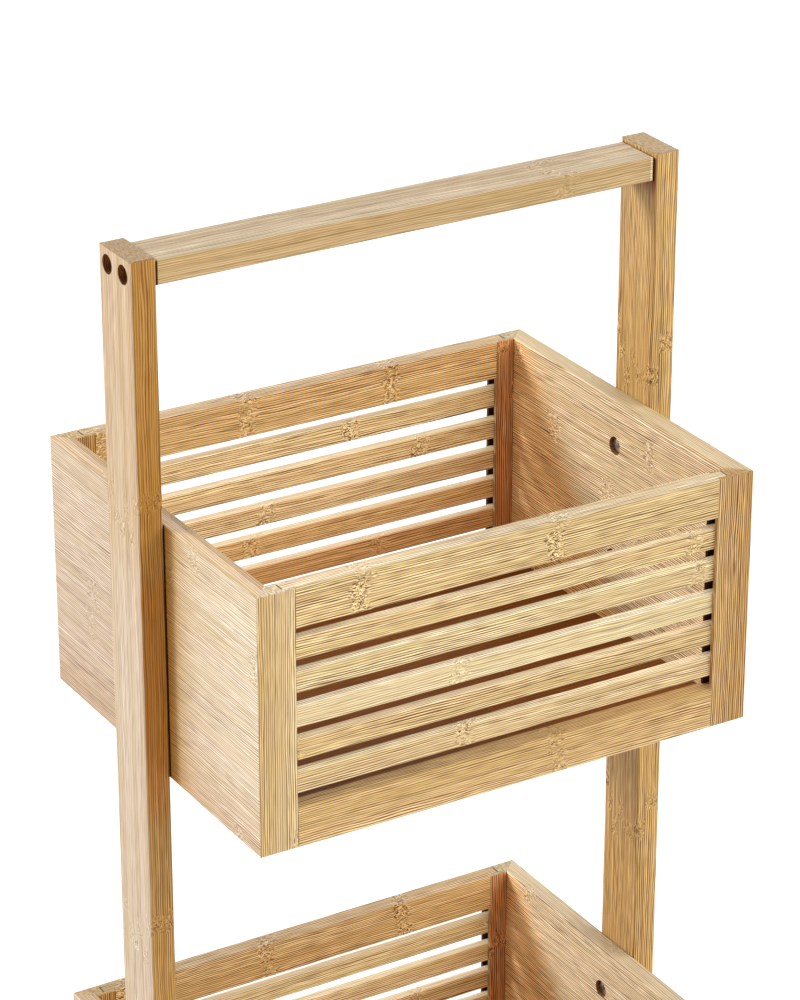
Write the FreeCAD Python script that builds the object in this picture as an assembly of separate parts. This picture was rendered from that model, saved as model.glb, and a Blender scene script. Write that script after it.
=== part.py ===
# Free-standing bamboo bathroom stand: two slatted baskets bolted between two uprights under a handle bar.
# Millimetres. +X is the right-hand side, +Y the back, +Z up. The origin is on the floor under the middle.
import FreeCAD
import Part

import math
import os

# Basket
basket_width = 350.0
basket_depth = 270.0
basket_height = 172.0
basket_spacing = 410.0       # from the bottom of one basket to the bottom of the next
board = 12.5                 # thickness of side panels, stiles and rails
edge_ease = 0.8              # rounding on the edges of boards and uprights
stile_width = 26.0
rail_height = 26.5
slat_height = 14.5
slat_thickness = 7.0         # also the thickness of the tongues on the rails
slat_round = 1.2
front_slat_lifts = (0.1, 0.6, 0.0, 0.4, 0.6)     # each slat above its even spacing, from the top down
back_slat_lifts = (0.4, -0.3, -0.3, 0.5, 0.8)
tongue_length = 8.0
groove_fit = 0.1             # play of tongues and slats in the grooves of the stiles

# Basket floor
floor_thickness = 5.0
floor_rise = 7.0             # underside of the floor above the lower edge of the basket
floor_seat = 5.0             # how far the floor enters the grooves around it
floor_fit = 0.1

# Uprights and handle bar
upright_thickness = 17.0
upright_depth = 40.0
upright_end_round = 1.2      # front and back edges of its two ends
upright_joint_round = 1.7    # outline of the face that meets the baskets and the bar
handle_rise = 171.0          # top of the uprights above the rim of the upper basket
bar_height = 16.0
bar_depth = 35.0
bar_drop = 2.5               # top of the bar below the top of the uprights
bar_round = 1.5              # long edges
bar_end_round = 1.9          # outline of the faces that meet the uprights

# Bolts that hold the baskets, and the inserts that take them
bolt_diameter = 6.0
bolt_play = 0.25             # radial play of a bolt in its hole and in its insert
bolt_head_diameter = 10.0
bolt_head_height = 4.0
bolt_counterbore = 12.0
bolt_counterbore_depth = 6.5
bolt_below_rim = 32.0
bolt_above_edge = 60.0
bolt_tip_gap = 2.0           # from the tip of a bolt to the end of its insert
insert_diameter = 9.0
insert_fit = 0.1             # play of an insert across its hole
insert_sunk = 0.3            # face of an insert below the face of the upright
insert_skin = 4.0            # wood left outside the end of an insert
socket_width = 4.0           # hexagon across flats
socket_depth = 2.5
head_ease = 0.5

# Screws that hold the handle bar
screw_diameter = 5.0
screw_fit = 0.1              # play of a screw across its holes
screw_head_diameter = 9.5
screw_head_height = 4.0
screw_counterbore = 12.0
screw_bite = 8.0             # wood of the upright left under a screw head
screw_in_bar = 40.0
screw_tip = 6.0
screw_spacing = 20.0

# Floor glides
glide_height = 3.0
glide_margin = 0.75          # edge of the side panel left beside a glide
glide_round = 1.2
glide_inset = 35.0           # from the front or back of the basket to the middle of a glide
glide_pin_diameter = 2.5
glide_pin_length = 12.0
glide_pin_fit = 0.1

AXIS_X = FreeCAD.Vector(1, 0, 0)
AXIS_Y = FreeCAD.Vector(0, 1, 0)
AXIS_Z = FreeCAD.Vector(0, 0, 1)
ORIGIN = FreeCAD.Vector(0, 0, 0)

# Places worked out from the sizes, for a basket that stands on z = 0
left = -basket_width / 2
front = -basket_depth / 2
lower_basket_z = glide_height
upper_basket_z = lower_basket_z + basket_spacing
upright_top = upper_basket_z + basket_height + handle_rise
bar_top = upright_top - bar_drop
bar_middle = bar_top - bar_height / 2
insert_hole_depth = upright_thickness - insert_skin
bolt_seat_x = left + board - bolt_counterbore_depth
bolt_heights = (bolt_above_edge, basket_height - bolt_below_rim)
screw_seat_x = left - screw_bite


def block(low, high):
    """Box between two opposite corners."""
    sides = [top - bottom for bottom, top in zip(low, high)]
    return Part.makeBox(sides[0], sides[1], sides[2], FreeCAD.Vector(*low))


def edges_along(shape, axis):
    """Straight edges of a shape that run along an axis."""
    found = []
    for edge in shape.Edges:
        run = edge.Vertexes[-1].Point - edge.Vertexes[0].Point
        if run.Length > 0 and abs(run.dot(axis)) > 0.999 * run.Length:
            found.append(edge)
    return found


def eased_block(low, high, radius, axis):
    """Box with the four edges along one axis rounded."""
    box = block(low, high)
    return box.makeFillet(radius, edges_along(box, axis))


def softened_block(low, high, long_round, low_round, high_round):
    """Box with its edges along X rounded, and the outline of each of its two X faces."""
    box = block(low, high)
    for place, radius in ((low[0], low_round), (high[0], high_round)):
        outline = [edge for edge in box.Edges if abs(edge.CenterOfMass.x - place) < radius / 2]
        box = box.makeFillet(radius, outline)
    return box.common(eased_block(low, high, long_round, AXIS_X))


def rod(diameter, start, length, axis):
    """Round rod from a point along an axis."""
    return Part.makeCylinder(diameter / 2, length, start, axis)


def prism(corners, height):
    """Upright prism on z = 0 over a flat outline of x, y corners."""
    points = [FreeCAD.Vector(x, y, 0) for x, y in corners]
    outline = Part.makePolygon(points + points[:1])
    return Part.Face(outline).extrude(AXIS_Z * height)


def mirror_x(shape):
    return shape.mirror(ORIGIN, AXIS_X)


def mirror_y(shape):
    return shape.mirror(ORIGIN, AXIS_Y)


def raised(shape, height):
    moved = shape.copy()
    moved.translate(AXIS_Z * height)
    return moved


def basket_envelope():
    """Outer block of a basket with its four upright corners eased."""
    return eased_block((left, front, 0), (-left, -front, basket_height), edge_ease, AXIS_Z)


def floor_outline(play):
    """Low and high corner of the floor panel, widened by the play in its grooves."""
    reach_x = basket_width / 2 - board + floor_seat + play
    reach_y = basket_depth / 2 - board + floor_seat + play
    low = (-reach_x, -reach_y, floor_rise)
    high = (reach_x, reach_y, floor_rise + floor_thickness + play)
    return low, high


def basket_floor():
    return block(*floor_outline(0))


def floor_groove():
    return block(*floor_outline(floor_fit))


def side_panel():
    """Left side panel: mitred at both ends, grooved for the floor and bored for two bolts."""
    panel = eased_block((left, front, 0), (left + board, -front, basket_height), edge_ease, AXIS_Y)
    waste = prism([(left, front), (left + board, front), (left + board, front + board)], basket_height)
    panel = panel.cut(waste).cut(mirror_y(waste))
    for height in bolt_heights:
        hole_start = FreeCAD.Vector(left, 0, height)
        seat = FreeCAD.Vector(bolt_seat_x, 0, height)
        panel = panel.cut(rod(bolt_diameter + 2 * bolt_play, hole_start, board, AXIS_X))
        panel = panel.cut(rod(bolt_counterbore, seat, bolt_counterbore_depth, AXIS_X))
    return panel.cut(floor_groove()).common(basket_envelope())


def corner_stile():
    """Front left stile: mitred to the side panel, with a groove for rails and slats in its inner edge."""
    inner = left + stile_width
    stile = block((left, front, 0), (inner, front + board, basket_height))
    inner_edges = [edge for edge in stile.Edges if abs(edge.CenterOfMass.x - inner) < groove_fit]
    stile = stile.makeFillet(edge_ease, edges_along(stile, AXIS_X) + inner_edges)
    waste = prism([(left, front), (left, front + board), (left + board, front + board)], basket_height)
    lip = (board - slat_thickness - groove_fit) / 2
    groove = block(
        (inner - tongue_length - groove_fit, front + lip, 0),
        (inner, front + board - lip, basket_height),
    )
    return stile.cut(waste).cut(groove).cut(floor_groove()).common(basket_envelope())


def frame_rail(low_z):
    """Front rail between the stiles, flush with them, with a tongue at each end."""
    end = basket_width / 2 - stile_width
    reach = end + tongue_length
    lip = (board - slat_thickness) / 2
    rail = eased_block((-end, front, low_z), (end, front + board, low_z + rail_height), edge_ease, AXIS_X)
    tongue = block((-reach, front + lip, low_z), (reach, front + board - lip, low_z + rail_height))
    return rail.fuse(tongue).removeSplitter().cut(floor_groove())


def frame_slat(low_z):
    """Front slat, thinner than the frame, with its whole ends in the grooves of the stiles."""
    reach = basket_width / 2 - stile_width + tongue_length
    lip = (board - slat_thickness) / 2
    return eased_block(
        (-reach, front + lip, low_z),
        (reach, front + board - lip, low_z + slat_height),
        slat_round,
        AXIS_X,
    )


def slat_levels(lifts):
    """Lower edge of each slat, from the top down, evenly spaced between the rails and then lifted."""
    count = len(lifts)
    gap = (basket_height - 2 * rail_height - count * slat_height) / (count + 1)
    levels = []
    for index, lift in enumerate(lifts):
        down = rail_height + (index + 1) * (gap + slat_height)
        levels.append(basket_height - down + lift)
    return levels


def basket_pieces():
    """Wooden pieces of one basket by name, standing on z = 0."""
    panel = side_panel()
    stile = corner_stile()
    pieces = {
        "left_side_panel": panel,
        "right_side_panel": mirror_x(panel),
        "front_left_stile": stile,
        "front_right_stile": mirror_x(stile),
        "back_left_stile": mirror_y(stile),
        "back_right_stile": mirror_x(mirror_y(stile)),
        "floor_panel": basket_floor(),
    }
    rails = {
        "top_rail": frame_rail(basket_height - rail_height),
        "bottom_rail": frame_rail(0),
    }
    for name, rail in rails.items():
        pieces["front_" + name] = rail
        pieces["back_" + name] = mirror_y(rail)
    for number, level in enumerate(slat_levels(front_slat_lifts), start=1):
        pieces["front_slat_%d" % number] = frame_slat(level)
    for number, level in enumerate(slat_levels(back_slat_lifts), start=1):
        pieces["back_slat_%d" % number] = mirror_y(frame_slat(level))
    return pieces


def hex_socket(face, depth, axis):
    """Hexagonal recess that starts at a face point and goes in along an axis."""
    radius = socket_width / math.sqrt(3)
    corners = []
    for step in range(6):
        angle = math.radians(60 * step)
        corners.append((radius * math.cos(angle), radius * math.sin(angle)))
    recess = prism(corners, depth)
    recess.Placement = FreeCAD.Placement(face, FreeCAD.Rotation(AXIS_Z, axis))
    return recess


def socket_head(diameter, height, seat, axis):
    """Round head that stands on its seat along an axis, with an eased rim and a hexagonal socket."""
    head = rod(diameter, seat, height, axis)
    top = seat + axis * height
    rim = [edge for edge in head.Edges if edge.Closed and edge.CenterOfMass.distanceToPoint(top) < head_ease]
    head = head.makeFillet(head_ease, rim)
    return head.cut(hex_socket(top, socket_depth, -axis))


def basket_bolt(height):
    """Bolt in the left side panel: head in the counterbore, shank into the insert of the upright."""
    seat = FreeCAD.Vector(bolt_seat_x, 0, height)
    shank_length = bolt_seat_x - left + insert_hole_depth - bolt_tip_gap
    shank = rod(bolt_diameter, seat, shank_length, -AXIS_X)
    return socket_head(bolt_head_diameter, bolt_head_height, seat, AXIS_X).fuse(shank).removeSplitter()


def threaded_insert(height):
    """Sleeve at the bottom of its blind hole in the left upright."""
    end = FreeCAD.Vector(left - insert_hole_depth, 0, height)
    length = insert_hole_depth - insert_sunk
    sleeve = rod(insert_diameter, end, length, AXIS_X)
    return sleeve.cut(rod(bolt_diameter + 2 * bolt_play, end, length, AXIS_X))


def four_sided(make_piece):
    """Pieces at both bolt heights on the left, and the same on the right."""
    pieces = [make_piece(height) for height in bolt_heights]
    return Part.makeCompound(pieces + [mirror_x(piece) for piece in pieces])


def upright_blank():
    """Left upright before boring, more rounded at the joints than outside."""
    half_depth = upright_depth / 2
    return softened_block(
        (left - upright_thickness, -half_depth, lower_basket_z),
        (left, half_depth, upright_top),
        upright_end_round,
        edge_ease,
        upright_joint_round,
    )


def screw_places():
    """Depth of the two screws at each end of the handle bar."""
    return (-screw_spacing / 2, screw_spacing / 2)


def upright():
    """Left upright: blind holes for the inserts inside, counterbored holes for the bar screws outside."""
    post = upright_blank()
    for basket_z in (lower_basket_z, upper_basket_z):
        for height in bolt_heights:
            end = FreeCAD.Vector(left - insert_hole_depth, 0, basket_z + height)
            post = post.cut(rod(insert_diameter + insert_fit, end, insert_hole_depth, AXIS_X))
    for depth_y in screw_places():
        outside = FreeCAD.Vector(left - upright_thickness, depth_y, bar_middle)
        post = post.cut(rod(screw_diameter + screw_fit, outside, upright_thickness, AXIS_X))
        post = post.cut(rod(screw_counterbore, outside, upright_thickness - screw_bite, AXIS_X))
    return post


def handle_bar():
    """Bar between the uprights, with a blind hole for each screw in its ends."""
    half_depth = bar_depth / 2
    bar = softened_block(
        (left, -half_depth, bar_top - bar_height),
        (-left, half_depth, bar_top),
        bar_round,
        bar_end_round,
        bar_end_round,
    )
    for depth_y in screw_places():
        start = FreeCAD.Vector(left, depth_y, bar_middle)
        hole = rod(screw_diameter + screw_fit, start, screw_in_bar + screw_fit, AXIS_X)
        bar = bar.cut(hole).cut(mirror_x(hole))
    return bar


def bar_screw(depth_y):
    """Screw from the outside of the left upright into the end of the bar, with a pointed tip."""
    seat = FreeCAD.Vector(screw_seat_x, depth_y, bar_middle)
    shank_length = screw_bite + screw_in_bar - screw_tip
    shank = rod(screw_diameter, seat, shank_length, AXIS_X)
    tip = Part.makeCone(screw_diameter / 2, 0, screw_tip, seat + AXIS_X * shank_length, AXIS_X)
    head = socket_head(screw_head_diameter, screw_head_height, seat, -AXIS_X)
    return head.fuse([shank, tip]).removeSplitter()


def bar_screws():
    screws = [bar_screw(depth_y) for depth_y in screw_places()]
    return Part.makeCompound(screws + [mirror_x(screw) for screw in screws])


def glide_place():
    """Middle of the front left glide on the floor."""
    return FreeCAD.Vector(left + board / 2, front + glide_inset, 0)


def glide_pin(play):
    """Pin of the front left glide, widened and lengthened by the play in its hole."""
    foot = glide_place() + AXIS_Z * glide_height
    return rod(glide_pin_diameter + play, foot, glide_pin_length + play, AXIS_Z)


def floor_glide():
    """Round glide with an eased lower rim and a pin that goes up into the side panel."""
    place = glide_place()
    pad = rod(board - 2 * glide_margin, place, glide_height, AXIS_Z)
    rim = [edge for edge in pad.Edges if edge.Closed and edge.CenterOfMass.z < glide_height / 2]
    return pad.makeFillet(glide_round, rim).fuse(glide_pin(0)).removeSplitter()


def in_four_corners(piece):
    """A front left piece and its copies in the other three corners."""
    pair = [piece, mirror_x(piece)]
    return Part.makeCompound(pair + [mirror_y(one) for one in pair])


def stand_nodes():
    """Every piece of the stand at its place, by node name."""
    nodes = {}
    pieces = basket_pieces()
    for level, basket_z in (("upper", upper_basket_z), ("lower", lower_basket_z)):
        for name, piece in pieces.items():
            nodes[level + "_" + name] = raised(piece, basket_z)
        nodes[level + "_basket_bolts"] = raised(four_sided(basket_bolt), basket_z)
        nodes[level + "_basket_inserts"] = raised(four_sided(threaded_insert), basket_z)
    pin_holes = in_four_corners(glide_pin(glide_pin_fit))
    for side in ("left", "right"):
        name = "lower_%s_side_panel" % side
        nodes[name] = nodes[name].cut(pin_holes)
    post = upright()
    nodes["left_upright"] = post
    nodes["right_upright"] = mirror_x(post)
    nodes["handle_bar"] = handle_bar()
    nodes["handle_screws"] = bar_screws()
    nodes["floor_glides"] = in_four_corners(floor_glide())
    return nodes


os.makedirs("parts", exist_ok=True)
for node_name, node_shape in stand_nodes().items():
    node_shape.exportStep("parts/%s.step" % node_name)
    print(node_name, len(node_shape.Solids), node_shape.isValid(), round(node_shape.Volume, 1))
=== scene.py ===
import math

import bpy
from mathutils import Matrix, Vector


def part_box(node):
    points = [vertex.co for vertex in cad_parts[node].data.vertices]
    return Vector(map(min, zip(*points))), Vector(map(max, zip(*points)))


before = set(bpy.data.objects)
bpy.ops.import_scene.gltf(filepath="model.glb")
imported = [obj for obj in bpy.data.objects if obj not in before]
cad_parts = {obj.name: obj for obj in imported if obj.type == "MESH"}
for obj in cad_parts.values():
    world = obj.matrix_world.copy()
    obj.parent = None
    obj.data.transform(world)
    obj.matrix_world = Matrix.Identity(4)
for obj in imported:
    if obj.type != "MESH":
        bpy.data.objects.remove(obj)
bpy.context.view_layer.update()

# Directions
SIDEWAYS = (1, 0, 0)
BACKWARD = (0, 1, 0)
FRONT = (0, -1, 0)
UP = (0, 0, 1)

# Bamboo tones, as linear red, green and blue
CREAM = (0.50, 0.395, 0.285)
SAND = (0.69, 0.54, 0.325)
STRAW = (0.583, 0.423, 0.208)
FLAX = (0.574, 0.417, 0.187)
HAY = (0.612, 0.474, 0.241)
OAT = (0.688, 0.567, 0.333)
IVORY = (0.505, 0.405, 0.290)
HONEY = (0.542, 0.360, 0.151)
AMBER = (0.53, 0.335, 0.122)
CARAMEL = (0.460, 0.277, 0.098)
TAN = (0.433, 0.341, 0.219)
# The floor panel's tone is darkened as painted shade, for the shadow inside a basket
COCOA_PAINTED_SHADE = (0.203, 0.0655, 0.009)

# Tone of each kind of board
USUAL_TONE = STRAW
BOARD_TONES = {
    "left_side_panel": CREAM,
    "right_side_panel": SAND,
    "front_right_stile": CARAMEL,
    "front_top_rail": FLAX,
    "front_slat_1": FLAX,
    "front_slat_4": FLAX,
    "front_bottom_rail": HONEY,
    "front_slat_2": HAY,
    "front_slat_3": OAT,
    "floor_panel": COCOA_PAINTED_SHADE,
    "left_upright": IVORY,
    "right_upright": AMBER,
    "handle_bar": TAN,
}

# Shades of one board, as shares of its tone: pale wood, deeper wood, dark fibres
PALE_SHARE = (1.015, 0.995, 0.965)
DEEP_SHARE = (0.895, 0.828, 0.71)
FIBRE_SHARE = (0.36, 0.27, 0.14)

# Shades of the cut ends, as shares of the board's tone
USUAL_END = (0.86, 0.85, 0.84)
END_SHARES = {
    "left_upright": (0.62, 0.52, 0.36),
    "right_upright": (0.66, 0.72, 0.98),
    "front_left_stile": (0.92, 1.01, 1.26),
    "back_right_stile": (0.71, 0.77, 0.87),
    "back_left_stile": (0.79, 0.76, 0.73),
}

# Strength of the fibres on each kind of board
USUAL_FORCE = 0.72
FIBRE_FORCES = {
    "left_side_panel": 0.62,
    "right_side_panel": 0.95,
    "left_upright": 0.52,
    "right_upright": 1.0,
    "handle_bar": 0.65,
    "front_right_stile": 1.2,
    "front_top_rail": 1.1,
    "front_bottom_rail": 0.90,
    "front_slat_1": 1.0,
    "front_slat_2": 1.0,
    "front_slat_3": 0.55,
    "front_slat_4": 1.0,
    "front_slat_5": 1.0,
}

# Strength of the coarser bundles of fibres on each kind of board
USUAL_BUNDLES = 0.12
BUNDLE_FORCES = {"left_upright": 0.2, "handle_bar": 0.25, "right_upright": 0.2}

# Upper faces of boards: share of the board's tone, mostly painted light and shade for how the tops catch
# the light, and strength of the fibres
SLAT_COUNT = 5
UP_FACE_LIGHT_AND_FIBRES = {
    "left_side_panel": ((1.12, 1.06, 0.93), 0.4),
    "right_side_panel": ((0.80, 0.82, 0.88), 0.4),
    # Tops of the front rail and slats are lightened as painted light
    "front_top_rail": ((1.11, 1.25, 1.78), 0.85),
    "back_top_rail": ((0.89, 0.90, 1.02), 1.0),
    "front_slat_1": ((1.54, 1.85, 2.72), 0.85),
    "front_slat_2": ((1.36, 1.57, 2.06), 0.85),
    "front_slat_3": ((1.23, 1.34, 1.65), 0.85),
    "front_slat_4": ((1.43, 1.67, 2.47), 0.85),
    "front_slat_5": ((1.36, 1.60, 2.03), 0.85),
    **{f"back_slat_{number}": ((1.36, 1.59, 2.20), 0.4) for number in range(1, SLAT_COUNT + 1)},
}

# Front faces of boards: share of the board's tone, mostly painted light and shade for how these faces catch
# the light, and strength of the fibres
FRONT_FACE_LIGHT_AND_FIBRES = {
    # Front of the left upright: browner wood, partly painted shade
    "left_upright": ((0.90, 0.64, 0.27), 0.62),
    "right_upright": ((1.0, 1.0, 1.0), 0.8),
    "handle_bar": ((1.17, 1.05, 0.80), 0.37),
    # Inner faces of the back boards: painted light on the rails and slats; on the stiles, partly darker
    # wood and partly painted shade in the corners
    "back_top_rail": ((1.48, 1.37, 1.18), 1.0),
    "back_slat_1": ((1.70, 1.80, 1.85), 1.0),
    "back_slat_2": ((1.74, 1.78, 1.80), 1.0),
    "back_slat_3": ((1.74, 1.74, 1.76), 1.0),
    "back_slat_4": ((1.80, 1.66, 1.50), 0.85),
    "back_slat_5": ((1.67, 1.38, 1.12), 0.72),
    "back_bottom_rail": ((1.60, 1.30, 1.05), 0.72),
    "back_left_stile": ((0.99, 0.77, 0.46), 1.0),
    "back_right_stile": ((1.19, 0.80, 0.61), 1.0),
}

# Axis that a kind of board has its grain along, and how far the knuckles of its strips differ, in spacings
USUAL_GRAIN = ("X", 0.04)
BOARD_GRAINS = {
    "side_panel": ("Y", 1.0),
    "floor_panel": ("X", 1.0),
    "stile": ("Z", 0.2),
    "upright": ("Z", 0.12),
}
GRAIN_AXES = {"X": SIDEWAYS, "Y": BACKWARD, "Z": UP}

# Scale from metres to the pattern's millimetres, and turns that bring a board's grain to its first axis
MILLIMETRES = (1000.0, 1000.0, 1000.0)
GRAIN_TURNS = {
    "X": (0.0, 0.0, 0.0),
    "Y": (0.0, 0.0, math.radians(-90)),
    "Z": (0.0, math.radians(90), 0.0),
}

# Place of a knuckle along each board and the distance to the next one, in millimetres
USUAL_SPACING = 290.0
KNUCKLES = {
    "front_top_rail": (-241.0, 136.0),
    "front_slat_1": (136.0, 300.0),
    "front_slat_2": (140.0, 310.0),
    "front_slat_3": (-31.0, 300.0),
    "front_slat_4": (-150.0, 320.0),
    "front_slat_5": (-28.0, 290.0),
    "front_bottom_rail": (39.0, 280.0),
    "back_top_rail": (-42.0, 108.0),
    "back_slat_1": (42.0, 300.0),
    "back_slat_2": (94.0, 290.0),
    "back_slat_3": (-24.0, 310.0),
    "back_slat_4": (-31.0, 300.0),
    "back_slat_5": (60.0, 290.0),
    "front_left_stile": (421.0, 300.0),
    "front_right_stile": (340.0, 330.0),
    "left_upright": (600.0, 290.0),
    "right_upright": (628.0, 332.0),
    "handle_bar": (110.0, 340.0),
}

# Shifts in millimetres: knuckles with no set place and the pattern by board, knuckles of the lower basket
KNUCKLE_STEP = 97.0
PATTERN_STEP = (0.0, 61.0, 173.0)
LOWER_SHIFT = 117.0

# Strips and fibres, in millimetres, with the shift from layer to layer as a share of a strip
STRIP_WIDTH = 21.0
LAYER_THICKNESS = 6.25
LAYER_SHIFT = 0.37
FIBRE_SPACING = 1.5
BUNDLE_SPACING = 3.7
RIPPLE_SIZE = 3.5
CURL_SIZE = 6.0

# Knuckles, in millimetres: how far they wander, where they start and end, and how far deeper wood reaches
KNUCKLE_WANDER = 18.0
KNUCKLE_START = (-4.0, -1.0)
KNUCKLE_END = (13.0, 4.0)
HALO_REACH = (40.0, 4.0)

# Noises in the grain: waves per millimetre along it, through the board and across it, and their detail
NOISES = {
    "wander": ((0.0, 0.16, 0.16), 2.0),
    "ripple": ((0.008, 0.04, 0.04), 2.0),
    "curl": ((0.3, 0.4, 0.4), 1.0),
    "sway": ((0.005, 0.4, 0.4), 1.0),
    "dashes": ((0.07, 1.9, 1.9), 0.0),
    "mottle": ((0.25, 1.5, 1.5), 1.0),
    "zones": ((0.006, 0.25, 0.25), 2.0),
    "dark_fibres": ((0.004, 1.3, 1.3), 0.0),
    "patches": ((0.004, 0.14, 0.14), 2.0),
    "streaks": ((0.003, 0.3, 0.3), 2.0),
    "pores": ((0.02, 0.3, 1.5), 1.0),
}

# Values between which a part of the pattern comes in
SEAM_LIMITS = (0.475, 0.49)
MOTTLE_LIMITS = (0.40, 0.60)
ZONE_LIMITS = (0.40, 0.58)
DARK_FIBRE_LIMITS = (0.66, 0.72)
TONE_LIMITS = (0.10, 0.70)
WARM_LIMITS = (0.5, 0.62)
GREEN_LIMITS = (0.5, 0.38)
PORE_LIMITS = (0.40, 0.60)
END_LIMITS = (0.3, 0.7)

# Sway of the fibres, in radians
THREAD_SWAY = 5.5
BUNDLE_SWAY = 12.0

# How much each part of the pattern counts
KNUCKLE_CLEARNESS = (0.5, 1.0)
THREAD_PART = 0.50
ZONE_FORCES = (0.55, 1.0)
DARK_FIBRE_PART = 0.35
STRIP_PART = 0.35
PATCH_PART = 0.4
STREAK_PART = 0.45
HALO_PART = 0.25
SEAM_PART = 0.3
PORE_PART = 0.3

# Streaks and fibres, as shares of the wood that they lie in
WARM_STREAK = (1.0, 0.89, 0.82, 1.0)
GREEN_STREAK = (0.93, 0.92, 0.72, 1.0)
DARK_LINES = (0.20, 0.08, 0.0, 1.0)
LIGHT_LINES = (1.72, 1.90, 2.35, 1.0)

# Lacquer: roughness over dark and over light fibres, specular level, and the relief of the fibres in metres
LACQUER_ROUGHNESS = (0.5, 0.38)
LACQUER_SPECULAR = 0.15
RELIEF_STRENGTH = 0.5
RELIEF_DEPTH = 0.00006

# Places in the frame, in metres: inner face and half depth of the uprights, inner face of the side panels
UPRIGHT_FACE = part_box("right_upright")[0].x
UPRIGHT_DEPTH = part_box("right_upright")[1].y
INNER_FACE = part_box("upper_right_side_panel")[0].x

# Joints: their dark colour, which is painted shade of the crevices by the bar and the uprights and a real
# joint line on the rims, how dark they are on a rim, and the width of their lines in metres
JOINT_AND_CREVICE_SHADE = (0.02, 0.008, 0.003, 1.0)
RIM_JOINT = 0.85
JOINT_LINE = 0.0012
NO_SHADE = (1.0, 1.0, 1.0, 1.0)

# Bores: painted shade on their walls, as a share of the board's tone, and radius in metres
BORE_SHADE = (0.45, 0.27, 0.16, 1.0)
BORE_RADIUS = 0.0061

# Ends of the bar: painted shadow under them on the uprights and a painted highlight on the right end, as
# shares of the board's tone, and sizes in metres
BAR_SHADE = (0.42, 0.20, 0.06, 1.0)
BAR_HIGHLIGHT = (1.70, 1.95, 2.40, 1.0)
BAR_REACH = 0.014
LEFT_BAR_LINE = 0.0024
RIGHT_BAR_LINE = 0.0006
BAR_HIGHLIGHT_WIDTH = 0.0022

# Outside of the side panels: shares of the board's tone, as painted light ahead of the upright and at the
# front, lighter high and darker low, and how far they reach in metres
PANEL_LIGHT = (1.10, 1.12, 1.08, 1.0)
PANEL_FRONT_LIGHT = (1.17, 1.23, 1.24, 1.0)
PANEL_HIGH = (1.07, 1.09, 1.09, 1.0)
PANEL_LOW = (0.90, 0.82, 0.74, 1.0)
FRONT_START = 0.055
FRONT_END = 0.110
HIGH_REACH = 0.11
LOW_REACH = 0.07

# Painted shadow beside the left upright: shares of the board's tone, how far they reach in metres, and how
# they fade
GOLD_SHADE = (0.92, 0.82, 0.57, 1.0)
WARM_SHADE = (0.85, 0.49, 0.09, 1.0)
GOLD_REACH = 0.040
GOLD_START = 0.006
WARM_REACH = 0.028
WARM_FADE = 3.0

# Glow inside a basket, near the back: shares of the board's tone, how far they reach in metres, and slope
INNER_GLOW = (1.36, 1.07, 0.72, 1.0)
CORNER_GLOW = (1.57, 1.35, 1.05, 1.0)
GLOW_REACH = 0.05
GLOW_SLOPE = 0.75
CORNER_REACH = 0.044

# Stiles: shares of the board's tone, as painted shade in the groove and as tones on the front, and sizes of
# the groove in metres
GROOVE_SHADE = (0.07, 0.025, 0.02, 1.0)
STILE_INNER = (1.05, 1.09, 1.22, 1.0)
STILE_OUTER = (0.91, 0.86, 0.79, 1.0)
GROOVE_DEPTH = 0.009
LIP_DEPTH = 0.0027

# Stiles: how the groove fades in behind its lip, and how far a face may look up and still have the groove
LIP_FADE = 1.1
STANDING_LIMITS = (0.6, 0.4)

# Left upright: shares of its tone, as painted shade beside the basket, browner above it, a painted
# highlight on its edge and tones on its sides, and fade in metres
POST_SHADE = (0.94, 0.72, 0.49, 1.0)
POST_TOP = (0.89, 0.79, 0.58, 1.0)
POST_HIGHLIGHT = (1.20, 1.50, 2.60, 1.0)
POST_SIDES = (0.99, 0.92, 0.82, 1.0)
POST_FADE = 0.05

# Metal: colours, roughness, and the waves per metre, the detail and the strength of the turning marks
STEEL_COLOUR = (0.75, 0.74, 0.73)
STEEL_ROUGHNESS = 0.2
BRASS_COLOUR = (0.70, 0.52, 0.24)
BRASS_ROUGHNESS = 0.3
TURNING_WAVES = (900.0, 5000.0, 5000.0)
TURNING_DETAIL = 3.0
TURNING_SHADES = (0.8, 1.05)
TURNING_ROUGHNESS = 0.15

# Plastic: colour, roughness, and the waves per metre, the detail and the strength of its moulded grain
PLASTIC_COLOUR = (0.03, 0.028, 0.026)
PLASTIC_ROUGHNESS = (0.5, 0.65)
MOULD_WAVES = (2500.0, 2500.0, 2500.0)
MOULD_DETAIL = 2.0
MOULD_SHADES = (0.8, 1.2)
MOULD_STRENGTH = 0.4
MOULD_DEPTH = 0.00005

# Values between which the marks on metal and plastic come in
MARK_LIMITS = (0.3, 0.7)

# Studio: side of the floor in metres, its finish, and the white surroundings
WHITE = (1.0, 1.0, 1.0, 1.0)
FLOOR_SIZE = 100.0
FLOOR_COLOUR = (0.85, 0.85, 0.85, 1.0)
FLOOR_ROUGHNESS = 0.9
FLOOR_GLOW = 0.05
SURROUND_STRENGTH = 0.35

# Lights: direction from the stand to the light, strength, and spread in degrees
LIGHTS = {
    "key_light": ((-0.7, 0.5, 0.45), 2.6, 16.0),
    "right_light": ((0.6, -0.55, 0.6), 2.3, 60.0),
    "fill_light": ((-0.2, -0.6, 0.75), 0.4, 80.0),
    "back_light": ((0.47, 0.79, 0.42), 0.6, 60.0),
    "high_light": ((-0.5, 0.25, 0.85), 0.6, 40.0),
}

# Camera, in metres and degrees: the lens is given as its focal length in pixels of the 1000 pixel long side
CAMERA_PLACE = (-1.1143, -1.8780, 1.5571)
CAMERA_YAW = 30.71
CAMERA_PITCH = 24.70
FOCAL_PIXELS = 3837.0
FRAME_PIXELS = 1000.0
SENSOR = 36.0


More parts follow.
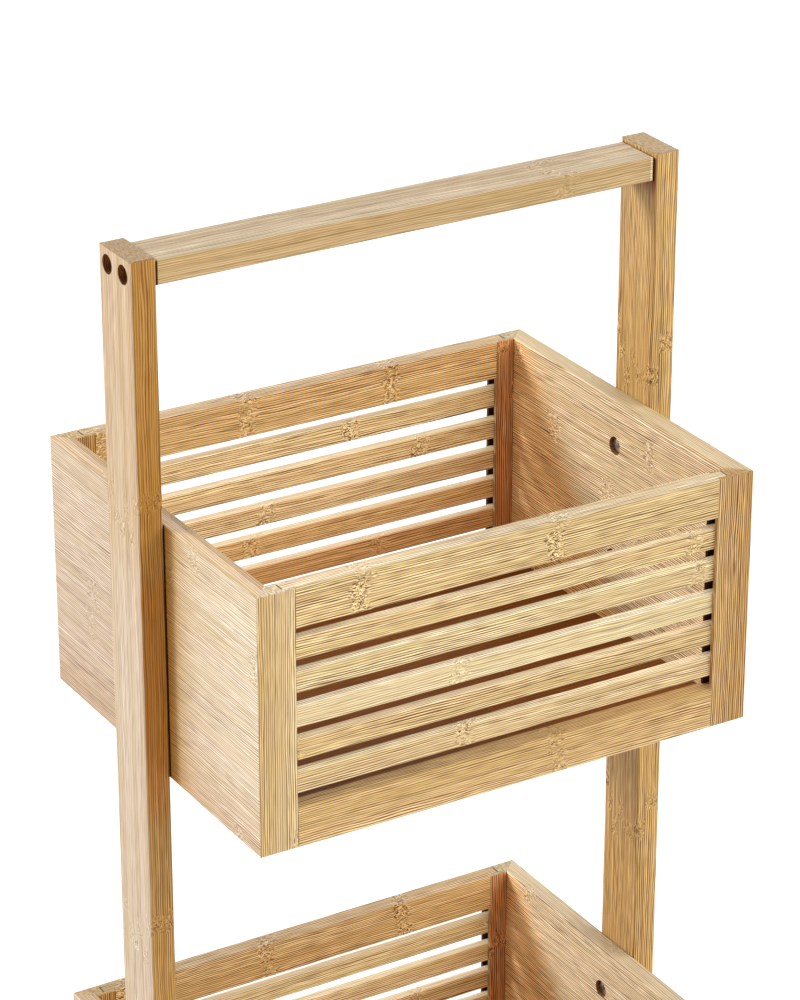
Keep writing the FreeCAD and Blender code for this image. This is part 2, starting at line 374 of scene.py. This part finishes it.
def add_node(tree, kind, values=None, **settings):
    """New shader node. A value is a constant, or the output socket that feeds the input."""
    node = tree.nodes.new(kind)
    for name, setting in settings.items():
        setattr(node, name, setting)
    for socket, value in (values or {}).items():
        if isinstance(value, bpy.types.NodeSocket):
            tree.links.new(value, node.inputs[socket])
        else:
            node.inputs[socket].default_value = value
    return node


def calc(tree, operation, *terms):
    """Result of a Math node on one, two or three terms."""
    return add_node(tree, "ShaderNodeMath", dict(enumerate(terms)), operation=operation).outputs[0]


def times(tree, product, *factors):
    """Product of several values."""
    for factor in factors:
        product = calc(tree, "MULTIPLY", product, factor)
    return product


def ramp(tree, value, start, end, low=0.0, high=1.0):
    """Value taken smoothly from low at start to high at end."""
    values = {"Value": value, 1: start, 2: end, 3: low, 4: high}
    return add_node(tree, "ShaderNodeMapRange", values, interpolation_type="SMOOTHSTEP").outputs[0]


def mix(tree, factor, first, second, mode="MIX"):
    """Mix of two colours."""
    values = {0: factor, 6: first, 7: second}
    return add_node(tree, "ShaderNodeMix", values, data_type="RGBA", blend_type=mode).outputs[2]


def split(tree, vector):
    """Three parts of a vector."""
    return add_node(tree, "ShaderNodeSeparateXYZ", {0: vector}).outputs


def join(tree, parts):
    """Vector made of its numbered parts."""
    return add_node(tree, "ShaderNodeCombineXYZ", parts).outputs[0]


def vector_calc(tree, operation, first, second):
    """Results of a Vector Math node on two vectors."""
    return add_node(tree, "ShaderNodeVectorMath", {0: first, 1: second}, operation=operation).outputs


def chance(tree, vector, dimensions):
    """Number and colour drawn by chance for a vector of whole numbers."""
    values = {"Vector": vector}
    return add_node(tree, "ShaderNodeTexWhiteNoise", values, noise_dimensions=dimensions).outputs


def noise(tree, vector, waves, detail):
    """Noise with so many waves along each axis of the vector."""
    stretched = vector_calc(tree, "MULTIPLY", vector, waves)[0]
    values = {"Vector": stretched, "Scale": 1.0, "Detail": detail}
    return add_node(tree, "ShaderNodeTexNoise", values).outputs["Fac"]


def fibre_lines(tree, across, spacing, phase):
    """Lines that follow each other across a board, from minus one to one."""
    return calc(tree, "SINE", calc(tree, "MULTIPLY_ADD", across, math.tau / spacing, phase))


def facing(tree, normal, direction):
    """How far a face looks in a direction, from none to one."""
    return calc(tree, "MAXIMUM", vector_calc(tree, "DOT_PRODUCT", normal, direction)["Value"], 0.0)


def facing_either_way(tree, normal, axis):
    """How far a face looks along an axis or against it, from none to one."""
    return calc(tree, "ABSOLUTE", vector_calc(tree, "DOT_PRODUCT", normal, axis)["Value"])


def grain_strips(tree, parts):
    """Strip and layer of the lamination, chances for the strip, and how near its seam is."""
    layer = calc(tree, "FLOOR", calc(tree, "DIVIDE", parts[1], LAYER_THICKNESS))
    shifted = calc(tree, "MULTIPLY_ADD", layer, LAYER_SHIFT * STRIP_WIDTH, parts[2])
    in_strips = calc(tree, "DIVIDE", shifted, STRIP_WIDTH)
    strip = calc(tree, "FLOOR", in_strips)
    drawn = chance(tree, join(tree, {0: strip, 1: layer}), "2D")["Color"]
    chances = add_node(tree, "ShaderNodeSeparateColor", {0: drawn}).outputs
    from_middle = calc(tree, "ABSOLUTE", calc(tree, "SUBTRACT", calc(tree, "FRACT", in_strips), 0.5))
    return strip, layer, chances, ramp(tree, from_middle, *SEAM_LIMITS)


def grain_knuckles(tree, given, along, strip, layer, strip_chance):
    """How far a point is in a knuckle and in the deeper wood round it, on a line that wanders."""
    wander = calc(tree, "SUBTRACT", noise(tree, given["Vector"], *NOISES["wander"]), 0.5)
    bowed = calc(tree, "MULTIPLY_ADD", wander, KNUCKLE_WANDER, along)
    phase = calc(tree, "DIVIDE", calc(tree, "SUBTRACT", bowed, given["Knuckle"]), given["Spacing"])
    phase = calc(tree, "ADD", calc(tree, "MULTIPLY_ADD", strip_chance, given["Stagger"], phase), 0.5)
    number = calc(tree, "FLOOR", phase)
    past = times(tree, calc(tree, "SUBTRACT", calc(tree, "FRACT", phase), 0.5), given["Spacing"])
    drawn = chance(tree, join(tree, {0: strip, 1: layer, 2: number}), "3D")["Value"]
    clear = ramp(tree, drawn, 0.0, 1.0, *KNUCKLE_CLEARNESS)
    knuckle = times(tree, ramp(tree, past, *KNUCKLE_START), ramp(tree, past, *KNUCKLE_END), clear)
    halo = times(tree, ramp(tree, calc(tree, "ABSOLUTE", past), *HALO_REACH), clear)
    return knuckle, halo


def grain_bend(tree, place, knuckle):
    """Place moved aside, so that fibres run nearly straight between knuckles and curl within them."""
    ripple = calc(tree, "SUBTRACT", noise(tree, place, *NOISES["ripple"]), 0.5)
    curl = calc(tree, "SUBTRACT", noise(tree, place, *NOISES["curl"]), 0.5)
    rippled = times(tree, ripple, RIPPLE_SIZE)
    bend = calc(tree, "MULTIPLY_ADD", times(tree, curl, CURL_SIZE), knuckle, rippled)
    return vector_calc(tree, "ADD", place, join(tree, {1: bend, 2: bend}))[0]


def grain_fibres(tree, given, bent, knuckle):
    """Fibres from dark to light: threads, bundles and dashes, broken up within a knuckle."""
    parts = split(tree, bent)
    across = calc(tree, "ADD", parts[1], parts[2])
    sway = noise(tree, bent, *NOISES["sway"])
    threads = fibre_lines(tree, across, FIBRE_SPACING, times(tree, sway, THREAD_SWAY))
    bundles = fibre_lines(tree, across, BUNDLE_SPACING, times(tree, sway, BUNDLE_SWAY))
    fine = calc(tree, "MULTIPLY_ADD", threads, THREAD_PART, times(tree, bundles, given["Bundles"]))
    fine = calc(tree, "ADD", fine, noise(tree, bent, *NOISES["dashes"]))
    mottle = ramp(tree, noise(tree, bent, *NOISES["mottle"]), *MOTTLE_LIMITS)
    broken = times(tree, calc(tree, "SUBTRACT", mottle, fine), knuckle)
    return calc(tree, "ADD", fine, broken)


def strip_colour(tree, given, bent, strip_chance, halo):
    """Wood between the fibres: tone of the strip, warm and green streaks, deeper wood round a knuckle."""
    patches = times(tree, noise(tree, given["Vector"], *NOISES["patches"]), PATCH_PART)
    tone = calc(tree, "MULTIPLY_ADD", strip_chance, STRIP_PART, patches)
    colour = mix(tree, ramp(tree, tone, *TONE_LIMITS), given["Pale"], given["Deep"])
    streak = noise(tree, bent, *NOISES["streaks"])
    for limits, tint in ((WARM_LIMITS, WARM_STREAK), (GREEN_LIMITS, GREEN_STREAK)):
        colour = mix(tree, ramp(tree, streak, *limits, 0.0, STREAK_PART), colour, tint, "MULTIPLY")
    return mix(tree, times(tree, halo, HALO_PART), colour, given["Deep"])


def end_colour(tree, given):
    """Cut end of a board, with the dots of its fibres."""
    pores = ramp(tree, noise(tree, given["Vector"], *NOISES["pores"]), *PORE_LIMITS)
    dots = mix(tree, pores, DARK_LINES, LIGHT_LINES)
    return mix(tree, PORE_PART, given["Cut"], dots, "MULTIPLY")


def add_sockets(tree, in_out, kind, names):
    """Inputs or outputs of one kind on a node group."""
    for name in names:
        tree.interface.new_socket(name, in_out=in_out, socket_type=kind)


def grain_group():
    """Pattern of laminated bamboo: strips, fibres and knuckles along the first axis, in millimetres."""
    tree = bpy.data.node_groups.new("bamboo_grain", "ShaderNodeTree")
    numbers = ("End", "Knuckle", "Spacing", "Stagger", "Force", "Bundles", "Joint")
    add_sockets(tree, "INPUT", "NodeSocketVector", ("Vector",))
    add_sockets(tree, "INPUT", "NodeSocketFloat", numbers)
    add_sockets(tree, "INPUT", "NodeSocketColor", ("Pale", "Deep", "Fibre", "Cut", "Shade"))
    add_sockets(tree, "OUTPUT", "NodeSocketColor", ("Color",))
    add_sockets(tree, "OUTPUT", "NodeSocketFloat", ("Roughness", "Height"))
    given = tree.nodes.new("NodeGroupInput").outputs
    parts = split(tree, given["Vector"])

    # Strips, knuckles and fibres
    strip, layer, chances, seam = grain_strips(tree, parts)
    knuckle, halo = grain_knuckles(tree, given, parts[0], strip, layer, chances[1])
    bent = grain_bend(tree, given["Vector"], knuckle)
    fine = grain_fibres(tree, given, bent, knuckle)
    zones = ramp(tree, noise(tree, bent, *NOISES["zones"]), *ZONE_LIMITS, *ZONE_FORCES)
    force = times(tree, given["Force"], calc(tree, "MAXIMUM", zones, knuckle))
    dark = ramp(tree, noise(tree, bent, *NOISES["dark_fibres"]), *DARK_FIBRE_LIMITS, 0.0, DARK_FIBRE_PART)
    dark = times(tree, dark, force)

    # Colour of the strips, with fibres, seams, cut ends, shades that hold painted light and shade, and
    # joints with painted crevice shade
    colour = strip_colour(tree, given, bent, chances[0], halo)
    colour = mix(tree, force, colour, mix(tree, fine, DARK_LINES, LIGHT_LINES), "MULTIPLY")
    colour = mix(tree, dark, colour, given["Fibre"])
    colour = mix(tree, times(tree, seam, SEAM_PART), colour, given["Fibre"])
    colour = mix(tree, ramp(tree, given["End"], *END_LIMITS), colour, end_colour(tree, given))
    colour = mix(tree, 1.0, colour, given["Shade"], "MULTIPLY")
    colour = mix(tree, given["Joint"], colour, JOINT_AND_CREVICE_SHADE)

    # Dark fibres lie a little lower than the wood between them and are duller
    roughness = ramp(tree, fine, 0.0, 1.0, *LACQUER_ROUGHNESS)
    roughness = calc(tree, "MAXIMUM", roughness, given["Joint"])
    height = calc(tree, "SUBTRACT", fine, dark)
    add_node(tree, "NodeGroupOutput", {"Color": colour, "Roughness": roughness, "Height": height})
    return tree


def bores(tree, parts, centres):
    """One on the wall of a bore that runs sideways, none on the board's face around it."""
    nearest = 1.0
    for middle_y, middle_z in centres:
        along_y = calc(tree, "SUBTRACT", parts[1], middle_y)
        along_z = calc(tree, "SUBTRACT", parts[2], middle_z)
        squares = calc(tree, "MULTIPLY_ADD", along_y, along_y, times(tree, along_z, along_z))
        nearest = calc(tree, "MINIMUM", nearest, calc(tree, "SQRT", squares))
    return ramp(tree, nearest, BORE_RADIUS + JOINT_LINE / 4, BORE_RADIUS)


def bolt_centres(basket):
    """Middles of the bolts on one side of a basket, back to front and upwards."""
    low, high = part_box(f"{basket}_basket_bolts")
    head_radius = high.y
    return (0.0, low.z + head_radius), (0.0, high.z - head_radius)


def screw_centres():
    """Middles of the screws in one upright, back to front and upwards."""
    low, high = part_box("handle_screws")
    head_radius = (high.z - low.z) / 2
    level = low.z + head_radius
    return (low.y + head_radius, level), (high.y - head_radius, level)


def bar_shades(tree, parts, normal, name):
    """Painted shade in the joints at both ends of the bar, and a painted highlight on the edge beside the
    right one.
    """
    low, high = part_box(name)
    in_front = facing(tree, normal, FRONT)
    left_end = ramp(tree, parts[0], low.x + LEFT_BAR_LINE, low.x + LEFT_BAR_LINE - RIGHT_BAR_LINE)
    right_end = ramp(tree, parts[0], high.x - RIGHT_BAR_LINE, high.x)
    highlight_start = high.x - BAR_HIGHLIGHT_WIDTH
    painted_highlight = times(tree, ramp(tree, parts[0], highlight_start - RIGHT_BAR_LINE, highlight_start), in_front)
    joint = calc(tree, "MAXIMUM", times(tree, left_end, in_front), right_end)
    return joint, mix(tree, painted_highlight, NO_SHADE, BAR_HIGHLIGHT)


def panel_outside(tree, parts, outside, low, high):
    """Painted light and tones over the outside of a side panel, and the warm painted shadow beside the
    front of the left upright.
    """
    ahead = ramp(tree, parts[1], UPRIGHT_DEPTH, -UPRIGHT_DEPTH)
    in_front = ramp(tree, parts[1], -FRONT_START, -FRONT_END)
    upper = ramp(tree, parts[2], high.z - HIGH_REACH, high.z)
    lower = ramp(tree, parts[2], low.z + LOW_REACH, low.z)
    before_middle = ramp(tree, parts[1], 0.0, -UPRIGHT_DEPTH)
    left = times(tree, outside, ramp(tree, parts[0], 0.0, -INNER_FACE), before_middle)
    golden = ramp(tree, parts[1], -UPRIGHT_DEPTH - GOLD_REACH, -UPRIGHT_DEPTH - GOLD_START)
    warm = ramp(tree, parts[1], -UPRIGHT_DEPTH - WARM_REACH, -UPRIGHT_DEPTH)
    shade = mix(tree, times(tree, ahead, outside), NO_SHADE, PANEL_LIGHT)
    shade = mix(tree, times(tree, in_front, outside), shade, PANEL_FRONT_LIGHT)
    shade = mix(tree, times(tree, golden, left), shade, GOLD_SHADE)
    shade = mix(tree, times(tree, upper, outside), shade, PANEL_HIGH, "MULTIPLY")
    shade = mix(tree, times(tree, lower, outside), shade, PANEL_LOW, "MULTIPLY")
    return mix(tree, times(tree, calc(tree, "POWER", warm, WARM_FADE), left), shade, WARM_SHADE)


def panel_inside(tree, parts, inside, high, shade):
    """Glow inside the right side panel, which widens downwards and is clearest in the back corner."""
    below_rim = calc(tree, "SUBTRACT", high.z, parts[2])
    from_back = calc(tree, "SUBTRACT", high.y, parts[1])
    slanted = calc(tree, "MULTIPLY_ADD", below_rim, -GLOW_SLOPE, from_back)
    on_right = times(tree, inside, ramp(tree, parts[0], 0.0, INNER_FACE))
    glow = times(tree, ramp(tree, slanted, GLOW_REACH, 0.0), on_right)
    behind = ramp(tree, from_back, CORNER_REACH, CORNER_REACH / 2)
    below = ramp(tree, below_rim, CORNER_REACH / 2, CORNER_REACH)
    shade = mix(tree, glow, shade, INNER_GLOW)
    return mix(tree, times(tree, glow, behind, below), shade, CORNER_GLOW)


def panel_shades(tree, parts, normal, name):
    """Painted shade in the joint beside the upright and in the bores, painted light and tones outside, and
    glow inside.
    """
    low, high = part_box(name)
    out_x = calc(tree, "ABSOLUTE", parts[0])
    out_y = calc(tree, "ABSOLUTE", parts[1])
    sideways = facing_either_way(tree, normal, SIDEWAYS)
    outside = times(tree, ramp(tree, out_x, INNER_FACE, UPRIGHT_FACE), sideways)
    inside = times(tree, ramp(tree, out_x, UPRIGHT_FACE, INNER_FACE), sideways)
    # Painted shade in the crevice beside the upright
    near = ramp(tree, out_y, UPRIGHT_DEPTH + JOINT_LINE, UPRIGHT_DEPTH + JOINT_LINE / 2)
    shade = panel_outside(tree, parts, outside, low, high)
    shade = panel_inside(tree, parts, inside, high, shade)
    drilled = bores(tree, parts, bolt_centres(name.partition("_")[0]))
    return times(tree, near, outside), mix(tree, drilled, shade, BORE_SHADE)


def stile_shades(tree, parts, normal, name):
    """Painted shade in the groove in the inner edge of a stile, and the tones across the front of a front
    stile.
    """
    low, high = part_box(name)
    out_x = calc(tree, "ABSOLUTE", parts[0])
    out_y = calc(tree, "ABSOLUTE", parts[1])
    inner = min(abs(low.x), abs(high.x))
    near, far = sorted((abs(low.y), abs(high.y)))
    near_lip, far_lip = (JOINT_LINE / 2, LIP_DEPTH) if low.y < 0 else (LIP_DEPTH, JOINT_LINE / 2)
    standing = ramp(tree, facing_either_way(tree, normal, UP), *STANDING_LIMITS)
    grooved = ramp(tree, out_x, inner + GROOVE_DEPTH + JOINT_LINE, inner + GROOVE_DEPTH)
    past_near = ramp(tree, out_y, near + near_lip, near + near_lip * LIP_FADE)
    past_far = ramp(tree, out_y, far - far_lip, far - far_lip * LIP_FADE)
    shade = mix(tree, times(tree, standing, grooved, past_near, past_far), NO_SHADE, GROOVE_SHADE)
    if low.y < 0:
        tones = mix(tree, ramp(tree, out_x, inner, UPRIGHT_FACE), STILE_INNER, STILE_OUTER)
        shade = mix(tree, facing(tree, normal, FRONT), shade, tones, "MULTIPLY")
    return 0.0, shade


def rail_shades(tree, parts, normal, name):
    """Dark lines on the upper face of a rail, where its tongues end in the grooves."""
    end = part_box(name)[1].x
    at_end = ramp(tree, calc(tree, "ABSOLUTE", parts[0]), end - JOINT_LINE, end - JOINT_LINE / 2)
    return times(tree, at_end, facing(tree, normal, UP), RIM_JOINT), NO_SHADE


def left_upright_shade(tree, parts, in_front, aside):
    """Front of the left upright browned by painted shade beside the upper basket and browner above it, and
    a painted highlight on its outer edge.
    """
    outer_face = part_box("left_upright")[0].x
    bottom, top = (corner.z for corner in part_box("upper_left_side_panel"))
    over = ramp(tree, parts[2], bottom - POST_FADE, bottom)
    under = ramp(tree, parts[2], top, top - POST_FADE)
    above = ramp(tree, parts[2], top - POST_FADE, top)
    painted_highlight = ramp(tree, parts[0], outer_face + JOINT_LINE, outer_face + JOINT_LINE / 2)
    shade = mix(tree, times(tree, over, under, in_front), NO_SHADE, POST_SHADE)
    shade = mix(tree, times(tree, above, in_front), shade, POST_TOP)
    shade = mix(tree, times(tree, above, aside), shade, POST_SIDES)
    return mix(tree, times(tree, painted_highlight, in_front), shade, POST_HIGHLIGHT)


def upright_shades(tree, parts, normal, name):
    """Painted shade in the bores and in the joint beside the end of the bar, and a warm painted shadow
    under the bar.
    """
    bar_low, bar_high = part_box("handle_bar")
    in_front = facing(tree, normal, FRONT)
    aside = facing_either_way(tree, normal, SIDEWAYS)
    shade = left_upright_shade(tree, parts, in_front, aside) if name == "left_upright" else NO_SHADE
    out_x = calc(tree, "ABSOLUTE", parts[0])
    out_y = calc(tree, "ABSOLUTE", parts[1])
    inner_face = ramp(tree, out_x, UPRIGHT_FACE + JOINT_LINE, UPRIGHT_FACE)
    below_top = ramp(tree, parts[2], bar_high.z, bar_high.z - JOINT_LINE)
    inward = times(tree, inner_face, aside, below_top)
    near_bar = ramp(tree, parts[2], bar_low.z - BAR_REACH, bar_low.z)
    above_bottom = ramp(tree, parts[2], bar_low.z - JOINT_LINE, bar_low.z)
    between_sides = ramp(tree, out_y, bar_high.y + JOINT_LINE, bar_high.y)
    # Warm painted shadow under the bar
    shade = mix(tree, times(tree, near_bar, inward), shade, BAR_SHADE)
    drilled = bores(tree, parts, screw_centres())
    return times(tree, inward, above_bottom, between_sides), mix(tree, drilled, shade, BORE_SHADE)


def joint_shades(tree, position, normal, name):
    """How dark a point is in a joint, partly painted crevice shade, and the painted shade, light and glow
    and the tones on the wood around it.
    """
    kinds = {
        "handle_bar": bar_shades,
        "side_panel": panel_shades,
        "stile": stile_shades,
        "rail": rail_shades,
        "upright": upright_shades,
    }
    for kind, shades in kinds.items():
        if name.endswith(kind):
            return shades(tree, split(tree, position), normal, name)
    return 0.0, NO_SHADE


def face_shades(tree, piece, normal, shade):
    """Shade and strength of the fibres, changed on the board's upper and front faces, mostly with painted
    light and shade.
    """
    usual_force = FIBRE_FORCES.get(piece, USUAL_FORCE)
    force = usual_force
    for direction, faces in ((UP, UP_FACE_LIGHT_AND_FIBRES), (FRONT, FRONT_FACE_LIGHT_AND_FIBRES)):
        if piece in faces:
            share, face_force = faces[piece]
            turned = facing(tree, normal, direction)
            shade = mix(tree, turned, shade, (*share, 1.0), "MULTIPLY")
            force = calc(tree, "MULTIPLY_ADD", turned, face_force - usual_force, force)
    return shade, force


def new_material(name):
    """Material with no nodes yet, and its node tree."""
    material = bpy.data.materials.new(name)
    material.use_nodes = True
    material.node_tree.nodes.clear()
    return material, material.node_tree


def add_surface(tree, values):
    """Principled shader with these values, as the material's surface."""
    shader = add_node(tree, "ShaderNodeBsdfPrincipled", values).outputs[0]
    add_node(tree, "ShaderNodeOutputMaterial", {"Surface": shader})


def relief(tree, strength, depth, height):
    """Normal of a surface with a fine relief."""
    values = {"Strength": strength, "Distance": depth, "Height": height}
    return add_node(tree, "ShaderNodeBump", values).outputs[0]


def shaded_colour(tree, colour, share):
    """Colour multiplied by a share that changes over the surface."""
    grey = add_node(tree, "ShaderNodeCombineColor", {0: share, 1: share, 2: share}).outputs[0]
    return mix(tree, 1.0, (*colour, 1.0), grey, "MULTIPLY")


def share_of(tone, share):
    """Tone multiplied by a share, as a colour with its fourth value."""
    return (*(part * factor for part, factor in zip(tone, share)), 1.0)


def grain_of(piece):
    """Axis that a board's grain runs along, and how far the knuckles of its strips differ."""
    for kind, grain in BOARD_GRAINS.items():
        if piece.endswith(kind):
            return grain
    return USUAL_GRAIN


def bamboo(name, piece, group, knuckle, spacing, offset):
    """Lacquered bamboo whose grain runs along one axis of the stand."""
    material, tree = new_material(name)
    source = add_node(tree, "ShaderNodeTexCoord").outputs
    position, normal = source["Object"], source["Normal"]
    axis, stagger = grain_of(piece)
    mapping = {"Vector": position, "Location": offset, "Rotation": GRAIN_TURNS[axis], "Scale": MILLIMETRES}
    joint, shade = joint_shades(tree, position, normal, name)
    shade, force = face_shades(tree, piece, normal, shade)
    tone = BOARD_TONES.get(piece, USUAL_TONE)
    pattern_values = {
        "Vector": add_node(tree, "ShaderNodeMapping", mapping).outputs[0],
        "End": facing_either_way(tree, normal, GRAIN_AXES[axis]),
        "Knuckle": knuckle,
        "Spacing": spacing,
        "Stagger": stagger,
        "Force": force,
        "Bundles": BUNDLE_FORCES.get(piece, USUAL_BUNDLES),
        "Joint": joint,
        "Pale": share_of(tone, PALE_SHARE),
        "Deep": share_of(tone, DEEP_SHARE),
        "Fibre": share_of(tone, FIBRE_SHARE),
        "Cut": share_of(tone, END_SHARES.get(piece, USUAL_END)),
        "Shade": shade,
    }
    pattern = add_node(tree, "ShaderNodeGroup", pattern_values, node_tree=group).outputs
    surface = {
        "Base Color": pattern["Color"],
        "Roughness": pattern["Roughness"],
        "Specular IOR Level": LACQUER_SPECULAR,
        "Normal": relief(tree, RELIEF_STRENGTH, RELIEF_DEPTH, pattern["Height"]),
    }
    add_surface(tree, surface)
    return material


def metal(name, colour, roughness):
    """Metal with fine turning marks."""
    material, tree = new_material(name)
    place = add_node(tree, "ShaderNodeTexCoord").outputs["Object"]
    marks = noise(tree, place, TURNING_WAVES, TURNING_DETAIL)
    surface = {
        "Base Color": shaded_colour(tree, colour, ramp(tree, marks, *MARK_LIMITS, *TURNING_SHADES)),
        "Metallic": 1.0,
        "Roughness": ramp(tree, marks, *MARK_LIMITS, roughness, roughness + TURNING_ROUGHNESS),
    }
    add_surface(tree, surface)
    return material


def moulded_plastic(name, colour):
    """Dark plastic with a fine moulded grain."""
    material, tree = new_material(name)
    place = add_node(tree, "ShaderNodeTexCoord").outputs["Object"]
    grain = noise(tree, place, MOULD_WAVES, MOULD_DETAIL)
    surface = {
        "Base Color": shaded_colour(tree, colour, ramp(tree, grain, *MARK_LIMITS, *MOULD_SHADES)),
        "Roughness": ramp(tree, grain, *MARK_LIMITS, *PLASTIC_ROUGHNESS),
        "Normal": relief(tree, MOULD_STRENGTH, MOULD_DEPTH, grain),
    }
    add_surface(tree, surface)
    return material


def finish_node(node, material):
    """Gives a CAD node its material."""
    node.data.materials.clear()
    node.data.materials.append(material)


def dress_board(node, name, index, group):
    """Bamboo on one board. The boards of both baskets share their tones."""
    piece = name.removeprefix("upper_").removeprefix("lower_")
    knuckle, spacing = KNUCKLES.get(piece, (KNUCKLE_STEP * index, USUAL_SPACING))
    if name.startswith("lower_"):
        knuckle += LOWER_SHIFT
    offset = [step * index for step in PATTERN_STEP]
    finish_node(node, bamboo(name, piece, group, knuckle, spacing, offset))


def dress_stand():
    """Materials on every CAD node."""
    group = grain_group()
    steel = metal("bolt_steel", STEEL_COLOUR, STEEL_ROUGHNESS)
    brass = metal("insert_brass", BRASS_COLOUR, BRASS_ROUGHNESS)
    plastic = moulded_plastic("glide_plastic", PLASTIC_COLOUR)
    for index, name in enumerate(sorted(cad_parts)):
        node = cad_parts[name]
        if name.endswith(("bolts", "screws")):
            finish_node(node, steel)
        elif name.endswith("inserts"):
            finish_node(node, brass)
        elif name.endswith("glides"):
            finish_node(node, plastic)
        else:
            dress_board(node, name, index, group)


def studio_floor():
    """Wide white floor under the stand."""
    bpy.ops.object.select_all(action="DESELECT")
    bpy.ops.mesh.primitive_plane_add(size=FLOOR_SIZE, location=(0, 0, 0))
    floor = bpy.context.object
    floor.name = "studio_floor"
    material, tree = new_material("white_floor")
    surface = {
        "Base Color": FLOOR_COLOUR,
        "Roughness": FLOOR_ROUGHNESS,
        "Specular IOR Level": 0.0,
        "Emission Color": WHITE,
        "Emission Strength": FLOOR_GLOW,
    }
    add_surface(tree, surface)
    floor.data.materials.append(material)


def studio_light(name, towards, strength, spread):
    """Soft light from far away. The direction points from the stand to the light."""
    data = bpy.data.lights.new(name, "SUN")
    data.energy = strength
    data.angle = math.radians(spread)
    light = bpy.data.objects.new(name, data)
    light.rotation_mode = "QUATERNION"
    light.rotation_quaternion = Vector(towards).to_track_quat("Z", "Y")
    bpy.context.scene.collection.objects.link(light)


def studio_lights():
    """White surroundings and the lights of the studio."""
    world = bpy.data.worlds.new("studio")
    world.use_nodes = True
    background = world.node_tree.nodes["Background"]
    background.inputs["Color"].default_value = WHITE
    background.inputs["Strength"].default_value = SURROUND_STRENGTH
    bpy.context.scene.world = world
    for name, (towards, strength, spread) in LIGHTS.items():
        studio_light(name, towards, strength, spread)
    bpy.context.scene.view_settings.view_transform = "Standard"


def photo_camera():
    """Camera at the viewing angle of the photograph."""
    data = bpy.data.cameras.new("photo_camera")
    data.sensor_width = SENSOR
    data.lens = FOCAL_PIXELS / FRAME_PIXELS * SENSOR
    camera = bpy.data.objects.new("photo_camera", data)
    camera.location = CAMERA_PLACE
    camera.rotation_euler = (math.radians(90.0 - CAMERA_PITCH), 0.0, math.radians(-CAMERA_YAW))
    bpy.context.scene.collection.objects.link(camera)
    bpy.context.scene.camera = camera


dress_stand()
studio_floor()
studio_lights()
photo_camera()
